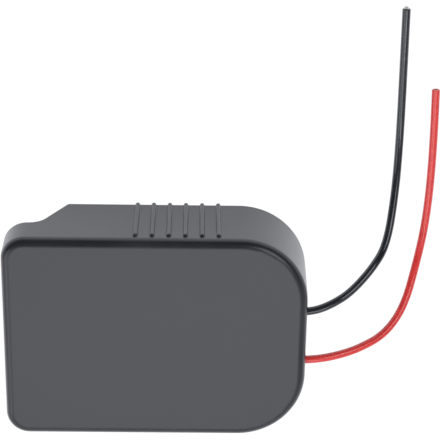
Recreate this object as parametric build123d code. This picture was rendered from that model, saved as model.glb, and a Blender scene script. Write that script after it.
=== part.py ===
from build123d import *
import os
from math import atan2, pi, radians, tan

# Tool battery adapter: a moulded dock with two loose power leads.
# Millimetres. X runs from the battery's entry end to the wire end, Y to the ribbed wall that the
# photograph shows, and Z up from the rim of the dock, on which it stands, to the plain face.

# Shell, outside
shell_length = 105.0            # along X, at the rim
shell_width = 75.6              # along Y, at the rim
shell_height = 30.2
wall_draft = 1.7                # degrees that every wall leans inward, from the rim to the face
entry_corner_radius = 8.8       # at the rim
wire_corner_radius = 24.0       # at the rim
face_edge_radius = 3.0
wall = 2.2
face_thickness = 2.2

# Raised rim at the entry end and the ramp down from it
entry_wall_height = 14.2        # from the raised rim up to the face
ramp_foot_from_entry = 21.5
ramp_run = 8.7
ramp_top_radius = 6.4
ramp_foot_radius = 1.0

# Grip ribs, half round, on both long walls
rib_count = 6
rib_radius = 0.83
rib_pitch = 5.6
last_rib_before_corner = 7.3    # from the last rib's middle to the start of the wire end's corner
rib_end_below_face = 3.8

# Dock liner: a moulded tray that closes the underside and forms the battery channel
liner_gap = 0.15
skin = 2.2
channel_width = 53.0
channel_end_from_wire_end = 24.5
rail_reach = 4.0
rail_thickness = 3.0
rail_above_rim = 1.0
rail_mouth_setback = 2.5
rail_end_gap = 4.0
catch_pocket_length = 8.0
catch_pocket_width = 16.0
catch_pocket_depth = 5.0
catch_pocket_wall = 1.6
catch_pocket_from_entry = 34.5  # to the pocket's middle

# Self-tapping screws: pan heads with a cross recess
pilot_diameter = 2.2
clearance_diameter = 2.9
head_diameter = 5.0
head_height = 1.7
recess_width = 0.8
recess_span = 2.8
recess_depth = 1.0
boss_diameter = 6.4
boss_floor = 1.2                # solid plastic left past the end of a pilot hole
screw_fit = 0.02                # radial play that is drawn between a screw and its pilot

# Liner screws, in wells that keep their heads above the rim
liner_screw_length = 8.0        # under the head
well_diameter = 8.2
well_bore_diameter = 5.8
well_bore_depth = 2.8
well_floor = 2.0
entry_screws_from_entry = 9.0
entry_screws_spacing = 36.0
wire_screws_from_wire_end = 16.5
wire_screws_spacing = 48.0

# Terminal block
block_length = 13.0             # along X
block_width = 33.8
block_below_liner = 10.0
block_above_liner = 3.3
block_fit = 0.15
block_end_gap = 2.5             # from its back to the end wall of the channel
block_ear_width = 7.6
block_ear_length = 7.0
block_ear_thickness = 2.0
block_post_height = 2.8
block_screw_length = 5.6
block_edge_radius = 0.6

# Power blades, one flat piece of sheet each
blade_spacing = 21.0
blade_thickness = 0.8
blade_height = 6.0
blade_reach = 15.0              # in front of the block
blade_rise = 2.0                # from the block's bottom to the blade's lower edge
blade_nose = 1.0
riser_width = 4.0
riser_from_back = 3.0
tail_height = 3.0
tail_length = 6.0               # behind the block

# Leads
lead_diameter = 2.8
conductor_diameter = 1.5
lead_below_face = 3.0           # from the inside of the face to both leads' axes
exit_hole_play = 0.1
strand_start = 1.5              # from the block's back to the first strand
joint_gap = 0.1                 # between the strands and the blade, filled with solder
strand_length = 5.5
conductor_overlap = 2.0         # how far a conductor is drawn into its jacket
black_end_stub = 0.8

# Shrunk sleeves over the solder joints
sleeve_wall = 0.35
sleeve_play = 0.04
sleeve_start = 0.4              # behind the block
sleeve_wide_length = 7.2
sleeve_neck_length = 2.5
sleeve_grip_length = 4.0
solder_radius = 1.35
solder_length = 3.6

# Cable clamp: a bar across both leads, under seats moulded inside the face
clamp_from_wire_end = 9.5       # to the bar's middle
clamp_length = 5.0              # along X
clamp_thickness = 3.0
clamp_seat_width = 4.4
clamp_post_diameter = 5.6
clamp_post_gap = 0.3            # between a lead's seat and the post beside it
clamp_ear = 3.4                 # bar past the middle of each screw
clamp_top_below_leads = 0.6
clamp_groove_play = 0.05
clamp_screw_length = 5.6

# Free routes of the leads, from the wall to their cut ends, lying on the surface beyond the drop
black_route = [
    (55.2, 9.25, 25.0),
    (60.6, 12.3, 24.5),
    (66.0, 15.5, 22.5),
    (73.7, 22.1, 18.4),
    (79.3, 29.0, 12.0),
    (82.0, 45.8, 5.0),
    (82.8, 62.3, 1.4),
    (82.8, 86.8, 1.4),
    (82.1, 109.4, 1.4),
]
red_route = [
    (55.5, -9.25, 25.0),
    (62.4, -8.4, 23.9),
    (71.0, -6.9, 21.0),
    (80.7, -3.0, 15.9),
    (87.3, 4.9, 9.8),
    (91.0, 17.0, 3.9),
    (94.0, 33.0, 1.4),
    (94.9, 58.3, 1.4),
    (94.0, 81.7, 1.4),
]
bend_share = 0.45               # of the shorter run, used by each arc of a route

overrun = 5.0                   # how far every cutting form runs past what it cuts

# Places worked out from the sizes above
lean = tan(radians(wall_draft))
low_rim_level = shell_height - entry_wall_height
plan_middle = -low_rim_level * lean / 2     # so that the raised entry rim and the wire end lie evenly
entry_end = plan_middle - shell_length / 2
wire_end = plan_middle + shell_length / 2
face_inside = shell_height - face_thickness
lead_level = face_inside - lead_below_face
liner_top = low_rim_level + skin
first_rib = wire_end - wire_corner_radius - last_rib_before_corner - (rib_count - 1) * rib_pitch
ramp_foot = entry_end + ramp_foot_from_entry
ramp_top = ramp_foot - ramp_run
ramp_slope = atan2(low_rim_level, ramp_run)
channel_end = wire_end - channel_end_from_wire_end
rail_start = ramp_foot + rail_mouth_setback
well_height = well_bore_depth + well_floor
block_back = channel_end - block_end_gap
block_front = block_back - block_length
block_bottom_level = low_rim_level - block_below_liner
block_top = liner_top + block_above_liner
block_middle = (block_front + block_back) / 2
ear_bottom = liner_top + block_post_height
ear_screw_y = block_width / 2 + block_ear_width / 2
strand_offset = blade_thickness / 2 + joint_gap + conductor_diameter / 2
lead_spacing = blade_spacing - 2 * strand_offset
clamp_screw_spacing = lead_spacing + clamp_seat_width + clamp_post_diameter + 2 * clamp_post_gap
joint_start = block_back + strand_start
jacket_start = joint_start + strand_length
exit_x = wire_end - lead_level * lean
clamp_middle = wire_end - clamp_from_wire_end
clamp_top = lead_level - clamp_top_below_leads
clamp_bottom = clamp_top - clamp_thickness


# Forms that several pieces use

def outline(inset):
    """Plan of the housing at the rim, drawn in by inset."""
    plan = Pos(plan_middle, 0) * Rectangle(shell_length - 2 * inset, shell_width - 2 * inset)
    plan = fillet(plan.vertices().group_by(Axis.X)[0], entry_corner_radius - inset)
    return fillet(plan.vertices().group_by(Axis.X)[-1], wire_corner_radius - inset)


def drafted(inset, height):
    """Solid on the housing's plan, leaning in with its walls."""
    return extrude(outline(inset), amount=height, taper=wall_draft)


def ramp_form():
    """What is absent under the raised rim and the ramp."""
    start = entry_end - overrun
    points = [
        (start, -overrun),
        (start, low_rim_level),
        (ramp_top, low_rim_level),
        (ramp_foot, 0),
        (ramp_foot + overrun, 0),
        (ramp_foot + overrun, -overrun),
    ]
    profile = make_face(Polyline(*points, close=True))
    high = profile.vertices().sort_by_distance((ramp_top, low_rim_level))[0]
    profile = fillet(high, ramp_top_radius)
    low = profile.vertices().sort_by_distance((ramp_foot, 0))[0]
    profile = fillet(low, ramp_foot_radius)
    return extrude(Plane.XZ * profile, amount=shell_width, both=True)


def block_between(x0, x1, y0, y1, z0, z1):
    """Box between two corners."""
    middle = ((x0 + x1) / 2, (y0 + y1) / 2, (z0 + z1) / 2)
    return Pos(*middle) * Box(x1 - x0, y1 - y0, z1 - z0)


def post(x, y, z0, z1, diameter):
    """Upright cylinder from one height to another."""
    return Pos(x, y, (z0 + z1) / 2) * Cylinder(diameter / 2, z1 - z0)


def screw_up(x, y, seat, length):
    """Pan head screw driven upward, with the underside of its head at seat."""
    head = post(x, y, seat - head_height, seat, head_diameter)
    rounded = head.edges().filter_by(GeomType.CIRCLE).sort_by(Axis.Z)[0]
    head = fillet(rounded, head_height / 2)
    slot = Box(recess_span, recess_width, recess_depth)
    cross = slot + Rot(0, 0, 90) * slot
    head -= Pos(x, y, seat - head_height + recess_depth / 2) * cross
    core = pilot_diameter / 2 - screw_fit
    tip = seat + length
    shank = post(x, y, seat, tip - core, 2 * core)
    point = Pos(x, y, tip - core / 2) * Cone(core, core / 2, core)
    return head + shank + point


def screw_down(x, y, seat, length):
    """The same screw driven downward."""
    turned = Rot(180, 0, 0) * screw_up(0, 0, 0, length)
    return Pos(x, y, seat) * turned


def pair(spacing):
    return (-spacing / 2, spacing / 2)


liner_screw_places = [
    (entry_end + entry_screws_from_entry, y, low_rim_level) for y in pair(entry_screws_spacing)
] + [
    (wire_end - wire_screws_from_wire_end, y, 0.0) for y in pair(wire_screws_spacing)
]


# Shell

def ribs():
    """Half round grip ribs with domed ends, leaning with the walls."""
    end_level = shell_height - rib_end_below_face - rib_radius
    bars = []
    for side in (-1, 1):
        for i in range(rib_count):
            x = first_rib + i * rib_pitch
            foot = Vector(x, side * shell_width / 2, 0)
            end = Vector(x, side * (shell_width / 2 - end_level * lean), end_level)
            axis = Plane(origin=foot, z_dir=end - foot)
            height = (end - foot).length
            bar = axis * (Pos(0, 0, height / 2) * Cylinder(rib_radius, height))
            bars.append(bar + Pos(*end) * Sphere(rib_radius))
    below = block_between(entry_end, wire_end, -shell_width, shell_width, -overrun, 0)
    return [bar - below for bar in bars]


def clamp_seats():
    """Blocks inside the face that the clamp presses the leads against."""
    seat_bottom = lead_level + clamp_top_below_leads
    seats = []
    for y in pair(lead_spacing):
        half = clamp_seat_width / 2
        seats.append(block_between(
            clamp_middle - clamp_length / 2, clamp_middle + clamp_length / 2,
            y - half, y + half, seat_bottom, face_inside + skin / 2))
    return seats


def lead_bores(diameter, x0, x1):
    """Level cylinders on the leads' lines between two places along X."""
    bore = Pos((x0 + x1) / 2, 0, lead_level) * Rot(0, 90, 0) * Cylinder(diameter / 2, x1 - x0)
    return [Pos(0, y, 0) * bore for y in pair(lead_spacing)]


def make_shell():
    body = drafted(0, shell_height)
    body = fillet(body.edges().group_by(Axis.Z)[-1], face_edge_radius)
    body -= drafted(wall, face_inside)
    body -= ramp_form()
    for rib in ribs():
        body += rib - drafted(wall / 2, face_inside)
    into_face = face_inside + face_thickness / 2
    for x, y, level in liner_screw_places:
        foot = level + well_height
        body += post(x, y, foot, into_face, boss_diameter)
        hole_top = min(foot + liner_screw_length - well_floor + boss_floor, face_inside)
        body -= post(x, y, foot, hole_top, pilot_diameter)
    for y in pair(clamp_screw_spacing):
        body += post(clamp_middle, y, clamp_top, into_face, clamp_post_diameter)
        body -= post(clamp_middle, y, clamp_top, face_inside, pilot_diameter)
    for seat in clamp_seats():
        body += seat
    groove = lead_diameter + 2 * clamp_groove_play
    for bore in lead_bores(groove, clamp_middle - clamp_length, clamp_middle + clamp_length / 2):
        body -= bore
    hole = lead_diameter + 2 * exit_hole_play
    for bore in lead_bores(hole, clamp_middle + clamp_length / 2, wire_end + overrun):
        body -= bore
    return body


# Dock liner

def rail(side):
    """Inward lip that a battery rail runs over, with a slanted mouth."""
    wall_y = channel_width / 2
    points = [
        (rail_start, wall_y),
        (rail_start + rail_reach, wall_y - rail_reach),
        (channel_end - rail_end_gap, wall_y - rail_reach),
        (channel_end - rail_end_gap, wall_y + skin / 2),
        (rail_start, wall_y + skin / 2),
    ]
    plan = make_face(Polyline(*[(x, side * y) for x, y in points], close=True))
    return Pos(0, 0, rail_above_rim) * extrude(plan, amount=rail_thickness, dir=(0, 0, 1))


def hollow_over_liner():
    """Space above the liner's floor and ramp, beside and beyond the channel."""
    shift = skin * tan(ramp_slope / 2)
    points = [
        (ramp_foot + shift, skin),
        (ramp_top + shift, liner_top),
        (ramp_top + shift, liner_top + overrun),
        (wire_end + overrun, liner_top + overrun),
        (wire_end + overrun, skin),
    ]
    profile = make_face(Polyline(*points, close=True))
    space = extrude(Plane.XZ * profile, amount=shell_width, both=True)
    half = channel_width / 2 + skin
    trough = block_between(
        entry_end - overrun, channel_end + skin, -half, half, -overrun, liner_top + 2 * overrun)
    return space - trough


def make_dock_liner():
    body = drafted(wall + liner_gap, liner_top)
    body -= ramp_form()
    body -= hollow_over_liner()
    half = channel_width / 2
    body -= block_between(entry_end - overrun, channel_end, -half, half, -overrun, low_rim_level)
    for side in (-1, 1):
        body += rail(side)
    # Catch pocket, a closed box over the channel
    pocket_x = entry_end + catch_pocket_from_entry
    long = catch_pocket_length / 2
    wide = catch_pocket_width / 2
    top = low_rim_level + catch_pocket_depth
    edge = catch_pocket_wall
    body += block_between(
        pocket_x - long - edge, pocket_x + long + edge,
        -wide - edge, wide + edge, low_rim_level, top + edge)
    body -= block_between(
        pocket_x - long, pocket_x + long, -wide, wide, low_rim_level - overrun, top)
    # Window and posts for the terminal block
    body -= block_between(
        block_front - block_fit, block_back + block_fit,
        -block_width / 2 - block_fit, block_width / 2 + block_fit,
        low_rim_level - overrun, liner_top + overrun)
    for side in (-1, 1):
        y = side * ear_screw_y
        body += post(block_middle, y, liner_top - skin / 2, ear_bottom, boss_diameter)
        hole_foot = low_rim_level + skin / 2
        body -= post(block_middle, y, hole_foot, ear_bottom, pilot_diameter)
    # Screw wells
    for x, y, level in liner_screw_places:
        body += post(x, y, level, level + well_height, well_diameter)
        body -= post(x, y, level - overrun, level + well_bore_depth, well_bore_diameter)
        body -= post(x, y, level, level + well_height + overrun, clearance_diameter)
    return body


def make_liner_screws():
    seats = [(x, y, level + well_bore_depth) for x, y, level in liner_screw_places]
    return [screw_up(x, y, seat, liner_screw_length) for x, y, seat in seats]


# Terminal block and blades

def blade_outline():
    """Blade, riser and tail as one flat piece, seen from the side."""
    low = block_bottom_level + blade_rise
    high = low + blade_height
    tip = block_front - blade_reach
    riser_back = block_back - riser_from_back
    riser_front = riser_back - riser_width
    tail_low = lead_level - tail_height / 2
    tail_high = lead_level + tail_height / 2
    tail_end = block_back + tail_length
    points = [
        (tip, low + blade_nose),
        (tip + blade_nose, low),
        (riser_back, low),
        (riser_back, tail_low),
        (tail_end, tail_low),
        (tail_end, tail_high),
        (riser_front, tail_high),
        (riser_front, high),
        (tip + blade_nose, high),
        (tip, high - blade_nose),
    ]
    return Plane.XZ * make_face(Polyline(*points, close=True))


def make_blade(y):
    return Pos(0, y, 0) * extrude(blade_outline(), amount=blade_thickness / 2, both=True)


def make_terminal_block(blades):
    half = block_width / 2
    body = block_between(block_front, block_back, -half, half, block_bottom_level, block_top)
    body = fillet(body.edges().filter_by(Axis.Y), block_edge_radius)
    reach = half + block_ear_width
    ear_half = block_ear_length / 2
    ears = block_between(
        block_middle - ear_half, block_middle + ear_half,
        -reach, reach, ear_bottom, ear_bottom + block_ear_thickness)
    body += fillet(ears.edges().filter_by(Axis.Z), block_edge_radius)
    for side in (-1, 1):
        body -= post(
            block_middle, side * ear_screw_y, block_bottom_level, block_top + overrun,
            clearance_diameter)
    for blade in blades:
        body -= blade
    return body


def make_terminal_block_screws():
    seat = ear_bottom + block_ear_thickness
    return [screw_down(block_middle, side * ear_screw_y, seat, block_screw_length)
            for side in (-1, 1)]


# Leads

def tube(route, diameter):
    """Round solid along straight runs joined by tangent arcs, and its length."""
    points = [Vector(*p) for p in route]
    runs = [b - a for a, b in zip(points, points[1:])]
    radii = []
    for before, after in zip(runs, runs[1:]):
        turn = radians(before.get_angle(after))
        radii.append(bend_share * min(before.length, after.length) / tan(turn / 2))
    path = FilletPolyline(*points, radius=radii)
    start = Plane(origin=points[0], z_dir=runs[0])
    solid = sweep(start * Circle(diameter / 2), path=path)
    return solid, path.length, radii


def level_rod(x0, x1, y, diameter):
    """Rod along X at the height of the leads."""
    return Pos((x0 + x1) / 2, y, lead_level) * Rot(0, 90, 0) * Cylinder(diameter / 2, x1 - x0)


def lead_y(side):
    return side * lead_spacing / 2


def make_inner_lead(side):
    return level_rod(jacket_start, exit_x, lead_y(side), lead_diameter) - make_strands(side)


def make_strands(side):
    return level_rod(joint_start, jacket_start + conductor_overlap, lead_y(side), conductor_diameter)


def make_solder(side, blade):
    blob = level_rod(joint_start, joint_start + solder_length, lead_y(side), 2 * solder_radius)
    return blob - blade - make_strands(side)


def make_sleeve(side):
    """Wide over the blade's tail and the joint, necked down to grip the jacket."""
    tail_far = strand_offset + blade_thickness / 2
    wide = Vector(tail_far, tail_height / 2).length + sleeve_play
    grip = lead_diameter / 2 + sleeve_play
    x0 = block_back + sleeve_start
    x1 = x0 + sleeve_wide_length
    x2 = x1 + sleeve_neck_length
    x3 = x2 + sleeve_grip_length
    inside = [(x0, wide), (x1, wide), (x2, grip), (x3, grip)]
    outside = [(x, r + sleeve_wall) for x, r in reversed(inside)]
    profile = make_face(Polyline(*inside, *outside, close=True))
    sleeve = revolve(profile, axis=Axis.X)
    return Pos(0, lead_y(side), lead_level) * sleeve


def make_free_lead(name, side, route, stub):
    """Free stretch from the wall, and the cut conductor at its end."""
    start = (exit_x, lead_y(side), lead_level)
    points = [start] + route
    lead, length, radii = tube(points, lead_diameter)
    section = pi * lead_diameter ** 2 / 4
    print(name, "length", round(length, 1), "radii", [round(r, 1) for r in radii])
    print(name, "volume over section times length", round(lead.volume / (section * length), 4))
    end = Vector(*points[-1])
    along = (end - Vector(*points[-2])).normalized()
    whole = conductor_overlap + stub
    middle = end + along * (stub - conductor_overlap) / 2
    conductor = Plane(origin=middle, z_dir=along) * Cylinder(conductor_diameter / 2, whole)
    return lead - conductor, conductor


# Cable clamp

def make_cable_clamp():
    half = clamp_screw_spacing / 2 + clamp_ear
    bar = block_between(
        clamp_middle - clamp_length / 2, clamp_middle + clamp_length / 2,
        -half, half, clamp_bottom, clamp_top)
    bar = fillet(bar.edges().filter_by(Axis.Z), clamp_length / 4)
    groove = lead_diameter + 2 * clamp_groove_play
    for bore in lead_bores(groove, clamp_middle - clamp_length, clamp_middle + clamp_length):
        bar -= bore
    for y in pair(clamp_screw_spacing):
        bar -= post(clamp_middle, y, clamp_bottom - overrun, clamp_top + overrun, clearance_diameter)
    return bar


def make_cable_clamp_screws():
    return [screw_up(clamp_middle, y, clamp_bottom, clamp_screw_length)
            for y in pair(clamp_screw_spacing)]


# All nodes

def make_nodes():
    negative_blade = make_blade(blade_spacing / 2)
    positive_blade = make_blade(-blade_spacing / 2)
    red_lead, red_end = make_free_lead("red_lead", -1, red_route, 0)
    black_lead, black_end = make_free_lead("black_lead", 1, black_route, black_end_stub)
    return {
        "shell": make_shell(),
        "dock_liner": make_dock_liner(),
        "liner_screws": make_liner_screws(),
        "terminal_block": make_terminal_block([positive_blade, negative_blade]),
        "terminal_block_screws": make_terminal_block_screws(),
        "positive_blade": positive_blade,
        "negative_blade": negative_blade,
        "red_lead_inner": make_inner_lead(-1),
        "black_lead_inner": make_inner_lead(1),
        "red_lead_strands": make_strands(-1),
        "black_lead_strands": make_strands(1),
        "positive_solder": make_solder(-1, positive_blade),
        "negative_solder": make_solder(1, negative_blade),
        "red_sleeve": make_sleeve(-1),
        "black_sleeve": make_sleeve(1),
        "cable_clamp": make_cable_clamp(),
        "cable_clamp_screws": make_cable_clamp_screws(),
        "red_lead": red_lead,
        "black_lead": black_lead,
        "red_lead_end": red_end,
        "black_lead_end": black_end,
    }


os.makedirs("parts", exist_ok=True)
for node, shape in make_nodes().items():
    whole = Compound(children=shape) if isinstance(shape, list) else shape
    export_step(whole, "parts/" + node + ".step")
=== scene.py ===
import bpy
import bmesh
import math
from mathutils import Matrix, Vector


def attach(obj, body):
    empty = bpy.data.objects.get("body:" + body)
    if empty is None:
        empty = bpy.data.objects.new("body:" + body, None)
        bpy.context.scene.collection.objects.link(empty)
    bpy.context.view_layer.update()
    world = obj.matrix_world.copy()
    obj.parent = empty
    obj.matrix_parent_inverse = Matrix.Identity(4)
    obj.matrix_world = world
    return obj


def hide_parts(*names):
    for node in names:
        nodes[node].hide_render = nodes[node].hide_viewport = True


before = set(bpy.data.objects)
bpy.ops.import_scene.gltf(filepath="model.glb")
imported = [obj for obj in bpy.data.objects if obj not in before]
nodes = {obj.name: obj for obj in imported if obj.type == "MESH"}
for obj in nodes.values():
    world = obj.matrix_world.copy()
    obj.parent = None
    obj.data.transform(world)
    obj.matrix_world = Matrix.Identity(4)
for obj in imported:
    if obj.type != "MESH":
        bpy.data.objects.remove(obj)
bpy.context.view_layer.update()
mm = 0.001
print("frame loaded:", len(nodes), "nodes")


# Camera, set where the photograph was taken from

cameraSetup = {
    "place": (12.23, 238.05, 499.33),   # mm, in the part's frame
    "aim": (21.13, 44.75, 30.13),
    "lens": 126.02,                     # mm
    "sensor": 36,
    "roll": 1.02,                       # degrees
    "nearest": 0.01,                    # metres
}


def makeCamera(setup):
    place = Vector(setup["place"]) * mm
    back = (place - Vector(setup["aim"]) * mm).normalized()
    side = Vector((0, 1, 0)).cross(back).normalized()
    turned = Matrix.Rotation(math.radians(setup["roll"]), 3, back) @ side
    up = back.cross(turned)
    data = bpy.data.cameras.new("camera")
    data.lens = setup["lens"]
    data.sensor_width = setup["sensor"]
    data.clip_start = setup["nearest"]
    camera = bpy.data.objects.new("camera", data)
    axes = Matrix((turned, up, back)).transposed().to_4x4()
    camera.matrix_world = Matrix.Translation(place) @ axes
    bpy.context.scene.collection.objects.link(camera)
    bpy.context.scene.camera = camera


makeCamera(cameraSetup)
print("camera placed")


# Leads, within a millimetre of the tubes in the part's source

leadSetup = {
    "diameter": 2.8,            # mm
    "blackLength": 120.1,
    "redLength": 122.1,
    "blackStub": 0.8,           # bare conductor past the jacket
    "redStub": -0.08,
    "alongSteps": 24,           # between two points of a route
    "roundSteps": 8,
}

blackRoute = [
    (51.52, 9.25, 25.0),
    (54.66, 9.54, 25.0),
    (60.4, 12.0, 24.5),
    (66.4, 15.3, 22.5),
    (73.8, 22.4, 18.4),
    (79.2, 28.8, 12.0),
    (81.9, 45.3, 5.0),
    (82.8, 62.6, 1.4),
    (82.6, 86.7, 1.4),
    (82.3, 109.4, 1.4),
]
redRoute = [
    (51.52, -9.25, 25.0),
    (55.19, -9.13, 25.0),
    (62.2, -8.3, 23.9),
    (70.2, -7.0, 21.0),
    (79.9, -3.8, 15.9),
    (86.9, 4.0, 9.8),
    (91.0, 17.6, 3.9),
    (93.9, 33.5, 1.4),
    (94.7, 58.7, 1.4),
    (94.0, 81.5, 1.4),
]


def leadEnd(route):
    end = Vector(route[-1]) * mm
    along = (end - Vector(route[-2]) * mm).normalized()
    return end, along


def newPiece(name, mesh):
    data = bpy.data.meshes.new(name)
    mesh.to_mesh(data)
    mesh.free()
    data.shade_smooth()
    data.set_sharp_from_angle(angle=math.radians(endSetup["sharpAngle"]))
    piece = bpy.data.objects.new(name, data)
    bpy.context.scene.collection.objects.link(piece)
    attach(piece, "root")
    return piece


def makeJacket(name, route):
    data = bpy.data.curves.new(name, "CURVE")
    data.dimensions = "3D"
    spline = data.splines.new("NURBS")
    spline.points.add(len(route) - 1)
    for point, place in zip(spline.points, route):
        point.co = (*(Vector(place) * mm), 1)
        point.radius = leadSetup["diameter"] / 2 * mm
    end, along = leadEnd(route)
    spline.points[-1].co = (*(end - along * endSetup["lip"] * mm), 1)
    spline.order_u = 3
    spline.use_endpoint_u = True
    spline.resolution_u = leadSetup["alongSteps"]
    data.bevel_depth = 1.0      # times each point's radius
    data.bevel_resolution = leadSetup["roundSteps"]
    data.use_fill_caps = True
    piece = bpy.data.objects.new(name, data)
    bpy.context.scene.collection.objects.link(piece)
    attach(piece, "root")
    return piece


endSetup = {
    "lip": 0.35,            # mm of jacket past the curve, with a rounded rim
    "lipRound": 0.28,
    "lipRoundSteps": 5,
    "lipTurnSteps": 34,
    "bore": 0.78,           # radius
    "strand": 0.149,        # radius
    "strandSides": 12,
    "strandSpacing": 0.3,
    "strandDome": 0.07,
    "strandDomeSteps": 2,
    "inside": 2.0,          # mm of strands inside the jacket
    "slack": 0.01,          # mm, when the strands' end edges are picked
    "sharpAngle": 40,       # degrees between faces
}


def atLeadEnd(route):
    end, along = leadEnd(route)
    return Matrix.Translation(end) @ along.to_track_quat("Z", "Y").to_matrix().to_4x4()


def makeLip(name, route):
    outer = leadSetup["diameter"] / 2
    bend, bore, lip = endSetup["lipRound"], endSetup["bore"], endSetup["lip"]
    mesh = bmesh.new()
    profile = [(outer, -lip), (outer, 0.0), (bore, 0.0), (bore, -lip)]
    corners = [mesh.verts.new((r * mm, 0, z * mm)) for r, z in profile]
    mesh.faces.new(corners)
    bmesh.ops.bevel(mesh, geom=[corners[1]], offset=bend * mm, offset_type="OFFSET",
                    segments=endSetup["lipRoundSteps"], profile=0.5, affect="VERTICES", material=-1)
    # Only the outline is spun, or the ring would be full of copies of the face
    bmesh.ops.delete(mesh, geom=mesh.faces[:], context="FACES_ONLY")
    bmesh.ops.spin(mesh, geom=mesh.verts[:] + mesh.edges[:], cent=(0, 0, 0), axis=(0, 0, 1),
                   angle=2 * math.pi, steps=endSetup["lipTurnSteps"], use_merge=True)
    bmesh.ops.recalc_face_normals(mesh, faces=mesh.faces)
    # The spin lists its faces in another order each run, so they are put in a fixed one
    mesh.verts.index_update()
    count = len(mesh.verts)
    mesh.faces.sort(key=lambda face: min(vert.index for vert in face.verts) * count
                    + max(vert.index for vert in face.verts))
    bmesh.ops.transform(mesh, matrix=atLeadEnd(route), verts=mesh.verts)
    return newPiece(name, mesh)


def strandPlaces(spacing):
    # Nineteen strands, packed like a honeycomb
    places = [(0.0, 0.0)]
    for ring, turn in ((1.0, 0.0), (math.sqrt(3), math.pi / 6), (2.0, 0.0)):
        for i in range(6):
            angle = turn + i * math.pi / 3
            places.append((ring * spacing * math.cos(angle), ring * spacing * math.sin(angle)))
    return places


def makeStrands(name, route, stub, node):
    radius, inside = endSetup["strand"], endSetup["inside"]
    mesh = bmesh.new()
    depth = inside + stub
    for x, y in strandPlaces(endSetup["strandSpacing"]):
        shift = Matrix.Translation(Vector((x, y, (stub - inside) / 2)) * mm)
        bmesh.ops.create_cone(mesh, cap_ends=True, segments=endSetup["strandSides"],
                              radius1=radius * mm, radius2=radius * mm, depth=depth * mm, matrix=shift)
    top = (stub - endSetup["slack"]) * mm
    rim = [edge for edge in mesh.edges if min(v.co.z for v in edge.verts) > top]
    bmesh.ops.bevel(mesh, geom=rim, offset=endSetup["strandDome"] * mm, offset_type="OFFSET",
                    segments=endSetup["strandDomeSteps"], profile=0.5, affect="EDGES", material=-1)
    bmesh.ops.transform(mesh, matrix=atLeadEnd(route), verts=mesh.verts)
    piece = newPiece(name, mesh)
    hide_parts(node)
    return piece


def makeLead(name, route, stub):
    jacketPiece = makeJacket(name + "_jacket", route)
    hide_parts(name)
    lip = makeLip(name + "_jacket_end", route)
    strands = makeStrands(name + "_strand_ends", route, stub, name + "_end")
    return jacketPiece, lip, strands


blackLeadPieces = makeLead("black_lead", blackRoute, leadSetup["blackStub"])
redLeadPieces = makeLead("red_lead", redRoute, leadSetup["redStub"])
print("leads laid")


# Floor and lights

floorSetup = {
    "tone": 0.5,
    "tint": (0.945, 0.955, 1.0),
    "roughness": 0.9,
    "gloss": 0.1,
    "glow": 0.89,           # light table under the part, so that it is lit from below too
    "seen": 1.03,           # radiance that the camera sees
    "reach": 3.0,           # metres from the middle to each side
    "drop": 0.0002,         # under the rim and the leads
}


def startMaterial(name):
    material = bpy.data.materials.new(name)
    material.use_nodes = True
    tree = material.node_tree
    return material, tree, tree.nodes["Principled BSDF"]


def addNode(tree, kind, **values):
    node = tree.nodes.new("ShaderNode" + kind)
    for key, value in values.items():
        setattr(node, key, value)
    return node


def makeFloor(setup):
    mesh = bmesh.new()
    bmesh.ops.create_grid(mesh, x_segments=1, y_segments=1, size=setup["reach"])
    bmesh.ops.translate(mesh, verts=mesh.verts, vec=(0, 0, -setup["drop"]))
    data = bpy.data.meshes.new("floor")
    mesh.to_mesh(data)
    mesh.free()
    floor = bpy.data.objects.new("floor", data)
    bpy.context.scene.collection.objects.link(floor)
    material, tree, shader = startMaterial("floor")
    shader.inputs["Base Color"].default_value = (*(setup["tone"] * part for part in setup["tint"]), 1)
    shader.inputs["Roughness"].default_value = setup["roughness"]
    shader.inputs["Specular IOR Level"].default_value = setup["gloss"]
    shader.inputs["Emission Color"].default_value = (*setup["tint"], 1)
    shader.inputs["Emission Strength"].default_value = setup["glow"]
    # The camera sees plain white, as it does past the floor
    white = addNode(tree, "Emission")
    white.inputs["Strength"].default_value = setup["seen"]
    ray = addNode(tree, "LightPath")
    shown = addNode(tree, "MixShader")
    tree.links.new(ray.outputs["Is Camera Ray"], shown.inputs["Fac"])
    tree.links.new(shader.outputs["BSDF"], shown.inputs[1])
    tree.links.new(white.outputs["Emission"], shown.inputs[2])
    # Clear from below, so the underside can be looked at too
    side = addNode(tree, "NewGeometry")
    clear = addNode(tree, "BsdfTransparent")
    mix = addNode(tree, "MixShader")
    tree.links.new(side.outputs["Backfacing"], mix.inputs["Fac"])
    tree.links.new(shown.outputs["Shader"], mix.inputs[1])
    tree.links.new(clear.outputs["BSDF"], mix.inputs[2])
    tree.links.new(mix.outputs["Shader"], tree.nodes["Material Output"].inputs["Surface"])
    data.materials.append(material)


# Soft boxes, in metres. Glossy surfaces mirror all of them but the fill
boxSetup = {
    "overhead": {
        "place": (0.0, -0.45, 1.0), "aim": (0.0, -0.45, 0.0),
        "width": 0.76, "height": 0.6, "radiance": 2.05, "mirrored": True,
    },
    "overheadCore": {
        "place": (0.3, -0.14, 0.99), "aim": (0.3, -0.14, 0.0),
        "width": 0.4, "height": 0.1, "radiance": 4.0, "mirrored": True,
    },
    "left": {
        "place": (-0.9, -0.3, 0.8), "aim": (0.0, 0.0, 0.0),
        "width": 0.9, "height": 0.8, "radiance": 1.7, "mirrored": True,
    },
    "right": {
        "place": (0.52, 0.38, 0.8), "aim": (0.0, 0.0, 0.0),
        "width": 0.5, "height": 0.45, "radiance": 3.6, "mirrored": True,
    },
    "fill": {
        "place": (0.0, 0.1, 1.3), "aim": (0.0, 0.1, 0.0),
        "width": 2.4, "height": 2.4, "radiance": 1.0, "mirrored": False,
    },
}

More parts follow.
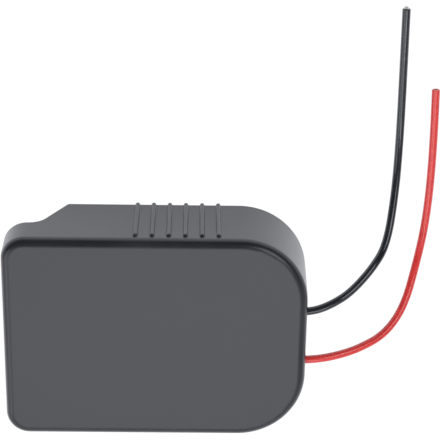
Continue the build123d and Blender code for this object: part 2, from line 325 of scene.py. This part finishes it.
# Room behind the soft boxes: radiance seen towards each side
roomSetup = {
    "towardsRibs": 0.11,        # +Y
    "awayFromRibs": 0.95,       # -Y
    "turnsAt": (-0.75, 0.25),   # share of the direction that points to +Y
    "backdrop": 1.0,            # what the camera sees past the floor
}


def makeLights(boxes, room):
    for name, box in boxes.items():
        data = bpy.data.lights.new(name, "AREA")
        data.shape = "RECTANGLE"
        data.size = box["width"]
        data.size_y = box["height"]
        data.energy = math.pi * box["width"] * box["height"] * box["radiance"]
        light = bpy.data.objects.new(name, data)
        facing = Vector(box["place"]) - Vector(box["aim"])
        light.rotation_euler = facing.to_track_quat("Z", "Y").to_euler()
        light.location = box["place"]
        light.visible_camera = False
        light.visible_glossy = box["mirrored"]
        bpy.context.scene.collection.objects.link(light)
    world = bpy.data.worlds.new("room")
    world.use_nodes = True
    tree = world.node_tree
    background = tree.nodes["Background"]
    direction = addNode(tree, "TexCoord")
    split = addNode(tree, "SeparateXYZ")
    along = addNode(tree, "MapRange", interpolation_type="SMOOTHSTEP")
    along.inputs["From Min"].default_value = room["turnsAt"][0]
    along.inputs["From Max"].default_value = room["turnsAt"][1]
    along.inputs["To Min"].default_value = room["awayFromRibs"]
    along.inputs["To Max"].default_value = room["towardsRibs"]
    tree.links.new(direction.outputs["Generated"], split.inputs[0])
    tree.links.new(split.outputs["Y"], along.inputs["Value"])
    ray = addNode(tree, "LightPath")
    seen = addNode(tree, "Mix", data_type="FLOAT")
    seen.inputs["B"].default_value = room["backdrop"]
    tree.links.new(ray.outputs["Is Camera Ray"], seen.inputs["Factor"])
    tree.links.new(along.outputs["Result"], seen.inputs["A"])
    tree.links.new(seen.outputs["Result"], background.inputs["Strength"])
    background.inputs["Color"].default_value = (1, 1, 1, 1)
    bpy.context.scene.world = world
    bpy.context.scene.view_settings.view_transform = "Standard"


makeFloor(floorSetup)
makeLights(boxSetup, roomSetup)
print("floor and lights set")


# Materials

noiseRoughness = 0.55
noiseSpread = (0.3, 0.7)    # noise values that reach a range's two ends
bevelSamples = 6


def addNoise(tree, coordinate, scale, detail):
    noise = addNode(tree, "TexNoise")
    noise.inputs["Scale"].default_value = scale
    noise.inputs["Detail"].default_value = detail
    noise.inputs["Roughness"].default_value = noiseRoughness
    tree.links.new(coordinate, noise.inputs["Vector"])
    return noise.outputs["Fac"]


def spread(tree, value, low, high):
    ranged = addNode(tree, "MapRange")
    ranged.inputs["From Min"].default_value = noiseSpread[0]
    ranged.inputs["From Max"].default_value = noiseSpread[1]
    ranged.inputs["To Min"].default_value = low
    ranged.inputs["To Max"].default_value = high
    tree.links.new(value, ranged.inputs["Value"])
    return ranged.outputs["Result"]


def blendColours(tree, factor, low, high):
    mix = addNode(tree, "Mix", data_type="RGBA")
    mix.inputs["A"].default_value = (*low, 1)
    mix.inputs["B"].default_value = (*high, 1)
    tree.links.new(factor, mix.inputs["Factor"])
    return mix.outputs["Result"]


def addBump(tree, shader, height, distance, after=None):
    bump = addNode(tree, "Bump")
    bump.inputs["Strength"].default_value = 1.0
    bump.inputs["Distance"].default_value = distance * mm
    tree.links.new(height, bump.inputs["Height"])
    if after is not None:
        tree.links.new(after, bump.inputs["Normal"])
    tree.links.new(bump.outputs["Normal"], shader.inputs["Normal"])


def roundEdges(tree, radius):
    soft = addNode(tree, "Bevel", samples=bevelSamples)
    soft.inputs["Radius"].default_value = radius * mm
    return soft.outputs["Normal"]


def mouldedPlastic(name, setup):
    material, tree, shader = startMaterial(name)
    place = addNode(tree, "TexCoord").outputs["Object"]
    grain = addNoise(tree, place, setup["grainScale"], 2.0)
    cloud = addNoise(tree, place, setup["cloudScale"], 3.0)
    colour = blendColours(tree, spread(tree, cloud, 0.0, 1.0), setup["dark"], setup["light"])
    tree.links.new(colour, shader.inputs["Base Color"])
    tree.links.new(spread(tree, cloud, *setup["roughness"]), shader.inputs["Roughness"])
    shader.inputs["IOR"].default_value = setup["ior"]
    shader.inputs["Specular Tint"].default_value = (*setup["sheenTint"], 1)
    addBump(tree, shader, grain, setup["grainDepth"], after=roundEdges(tree, setup["edge"]))
    return material


# Roughness that varies across 0.27 leaves marks in the denoised picture, so all the plastics'
# ranges lie above it
shellSetup = {
    "dark": (0.0090, 0.0093, 0.0106), "light": (0.0150, 0.0155, 0.0172),
    "roughness": (0.285, 0.345), "ior": 1.5, "sheenTint": (0.91, 0.93, 1.0),
    "grainScale": 2600.0, "grainDepth": 0.008,
    "cloudScale": 45.0, "edge": 0.12,
}
linerSetup = {
    "dark": (0.0080, 0.0080, 0.0088), "light": (0.0115, 0.0115, 0.0125),
    "roughness": (0.40, 0.50), "ior": 1.5, "sheenTint": (0.95, 0.96, 1.0),
    "grainScale": 1900.0, "grainDepth": 0.02,
    "cloudScale": 60.0, "edge": 0.3,
}
blockSetup = {
    "dark": (0.010, 0.010, 0.010), "light": (0.018, 0.018, 0.017),
    "roughness": (0.29, 0.36), "ior": 1.53, "sheenTint": (1.0, 1.0, 1.0),
    "grainScale": 1200.0, "grainDepth": 0.008,
    "cloudScale": 150.0, "edge": 0.2,
}


def jacket(name, setup):
    material, tree, shader = startMaterial(name)
    place = addNode(tree, "TexCoord").outputs["Object"]
    cloud = addNoise(tree, place, setup["cloudScale"], 2.0)
    colour = blendColours(tree, spread(tree, cloud, 0.0, 1.0), setup["dark"], setup["light"])
    tree.links.new(colour, shader.inputs["Base Color"])
    tree.links.new(spread(tree, cloud, *setup["roughness"]), shader.inputs["Roughness"])
    shader.inputs["Specular IOR Level"].default_value = setup["gloss"]
    shader.inputs["Specular Tint"].default_value = (*setup["sheenTint"], 1)
    ripple = addNoise(tree, place, setup["rippleScale"], 2.0)
    addBump(tree, shader, ripple, setup["rippleDepth"])
    return material


blackJacketSetup = {
    "dark": (0.0080, 0.0088, 0.0110), "light": (0.0135, 0.0146, 0.0175),
    "roughness": (0.09, 0.14), "gloss": 0.6, "sheenTint": (0.91, 0.95, 1.0), "cloudScale": 400.0,
    "rippleScale": 600.0, "rippleDepth": 0.02,
}
redJacketSetup = {
    "dark": (0.455, 0.026, 0.025), "light": (0.530, 0.037, 0.034),
    "roughness": (0.10, 0.16), "gloss": 0.5, "sheenTint": (1.0, 1.0, 1.0), "cloudScale": 400.0,
    "rippleScale": 600.0, "rippleDepth": 0.02,
}
blackSleeveSetup = {
    "dark": (0.009, 0.009, 0.010), "light": (0.015, 0.015, 0.016),
    "roughness": (0.42, 0.55), "gloss": 0.45, "sheenTint": (1.0, 1.0, 1.0), "cloudScale": 300.0,
    "rippleScale": 350.0, "rippleDepth": 0.05,
}
redSleeveSetup = {
    "dark": (0.30, 0.014, 0.012), "light": (0.38, 0.022, 0.018),
    "roughness": (0.42, 0.55), "gloss": 0.45, "sheenTint": (1.0, 1.0, 1.0), "cloudScale": 300.0,
    "rippleScale": 350.0, "rippleDepth": 0.05,
}


def metal(name, setup):
    material, tree, shader = startMaterial(name)
    shader.inputs["Metallic"].default_value = 1.0
    place = addNode(tree, "TexCoord").outputs["Object"]
    stretch = addNode(tree, "Mapping")
    stretch.inputs["Scale"].default_value = setup["stretch"]
    tree.links.new(place, stretch.inputs["Vector"])
    streak = addNoise(tree, stretch.outputs["Vector"], setup["streakScale"], 3.0)
    stain = addNoise(tree, place, setup["stainScale"], 3.0)
    colour = blendColours(tree, spread(tree, stain, 0.0, 1.0), setup["dark"], setup["light"])
    tree.links.new(colour, shader.inputs["Base Color"])
    tree.links.new(spread(tree, streak, *setup["roughness"]), shader.inputs["Roughness"])
    addBump(tree, shader, streak, setup["streakDepth"], after=roundEdges(tree, setup["edge"]))
    return material


brassSetup = {
    "dark": (0.56, 0.40, 0.17), "light": (0.74, 0.58, 0.30),
    "roughness": (0.18, 0.34), "edge": 0.12,
    "stretch": (0.06, 1.0, 1.0), "streakScale": 2200.0, "streakDepth": 0.004, "stainScale": 220.0,
}
steelSetup = {
    "dark": (0.50, 0.50, 0.51), "light": (0.66, 0.66, 0.67),
    "roughness": (0.22, 0.38), "edge": 0.12,
    "stretch": (1.0, 1.0, 1.0), "streakScale": 1400.0, "streakDepth": 0.006, "stainScale": 500.0,
}
tinnedSetup = {
    "dark": (0.58, 0.56, 0.53), "light": (0.78, 0.77, 0.74),
    "roughness": (0.25, 0.42), "edge": 0.1,
    "stretch": (1.0, 1.0, 1.0), "streakScale": 2600.0, "streakDepth": 0.05, "stainScale": 900.0,
}
solderSetup = {
    "dark": (0.55, 0.55, 0.57), "light": (0.72, 0.72, 0.74),
    "roughness": (0.12, 0.25), "edge": 0.3,
    "stretch": (1.0, 1.0, 1.0), "streakScale": 600.0, "streakDepth": 0.03, "stainScale": 400.0,
}
cutEndSetup = {
    "dark": (0.34, 0.17, 0.11), "light": (0.46, 0.25, 0.17),
    "roughness": (0.40, 0.55), "edge": 0.1,
    "stretch": (1.0, 1.0, 1.0), "streakScale": 2600.0, "streakDepth": 0.08, "stainScale": 900.0,
}

shellPlastic = mouldedPlastic("shell_plastic", shellSetup)
linerPlastic = mouldedPlastic("liner_plastic", linerSetup)
blockPlastic = mouldedPlastic("block_plastic", blockSetup)
blackJacket = jacket("black_jacket", blackJacketSetup)
redJacket = jacket("red_jacket", redJacketSetup)
blackSleeve = jacket("black_sleeve", blackSleeveSetup)
redSleeve = jacket("red_sleeve", redSleeveSetup)
bladeBrass = metal("blade_brass", brassSetup)
screwSteel = metal("screw_steel", steelSetup)
tinnedCopper = metal("tinned_copper", tinnedSetup)
solder = metal("solder", solderSetup)
cutEnd = metal("cut_end", cutEndSetup)

finishes = {
    "shell": shellPlastic,
    "dock_liner": linerPlastic,
    "terminal_block": blockPlastic,
    "cable_clamp": blockPlastic,
    "liner_screws": screwSteel,
    "terminal_block_screws": screwSteel,
    "cable_clamp_screws": screwSteel,
    "positive_blade": bladeBrass,
    "negative_blade": bladeBrass,
    "red_lead_inner": redJacket,
    "black_lead_inner": blackJacket,
    "red_sleeve": redSleeve,
    "black_sleeve": blackSleeve,
    "red_lead_strands": tinnedCopper,
    "black_lead_strands": tinnedCopper,
    "positive_solder": solder,
    "negative_solder": solder,
}


def setFinish(piece, material):
    slots = piece.data.materials
    if len(slots) == 0:
        slots.append(material)
    for i in range(len(slots)):
        slots[i] = material


for node, material in finishes.items():
    setFinish(nodes[node], material)
leadFinishes = (
    (blackLeadPieces, blackJacket, tinnedCopper),
    (redLeadPieces, redJacket, cutEnd),
)
for (jacketPiece, lip, strands), jacketFinish, endFinish in leadFinishes:
    setFinish(jacketPiece, jacketFinish)
    setFinish(lip, jacketFinish)
    setFinish(strands, endFinish)
print("finishes given")
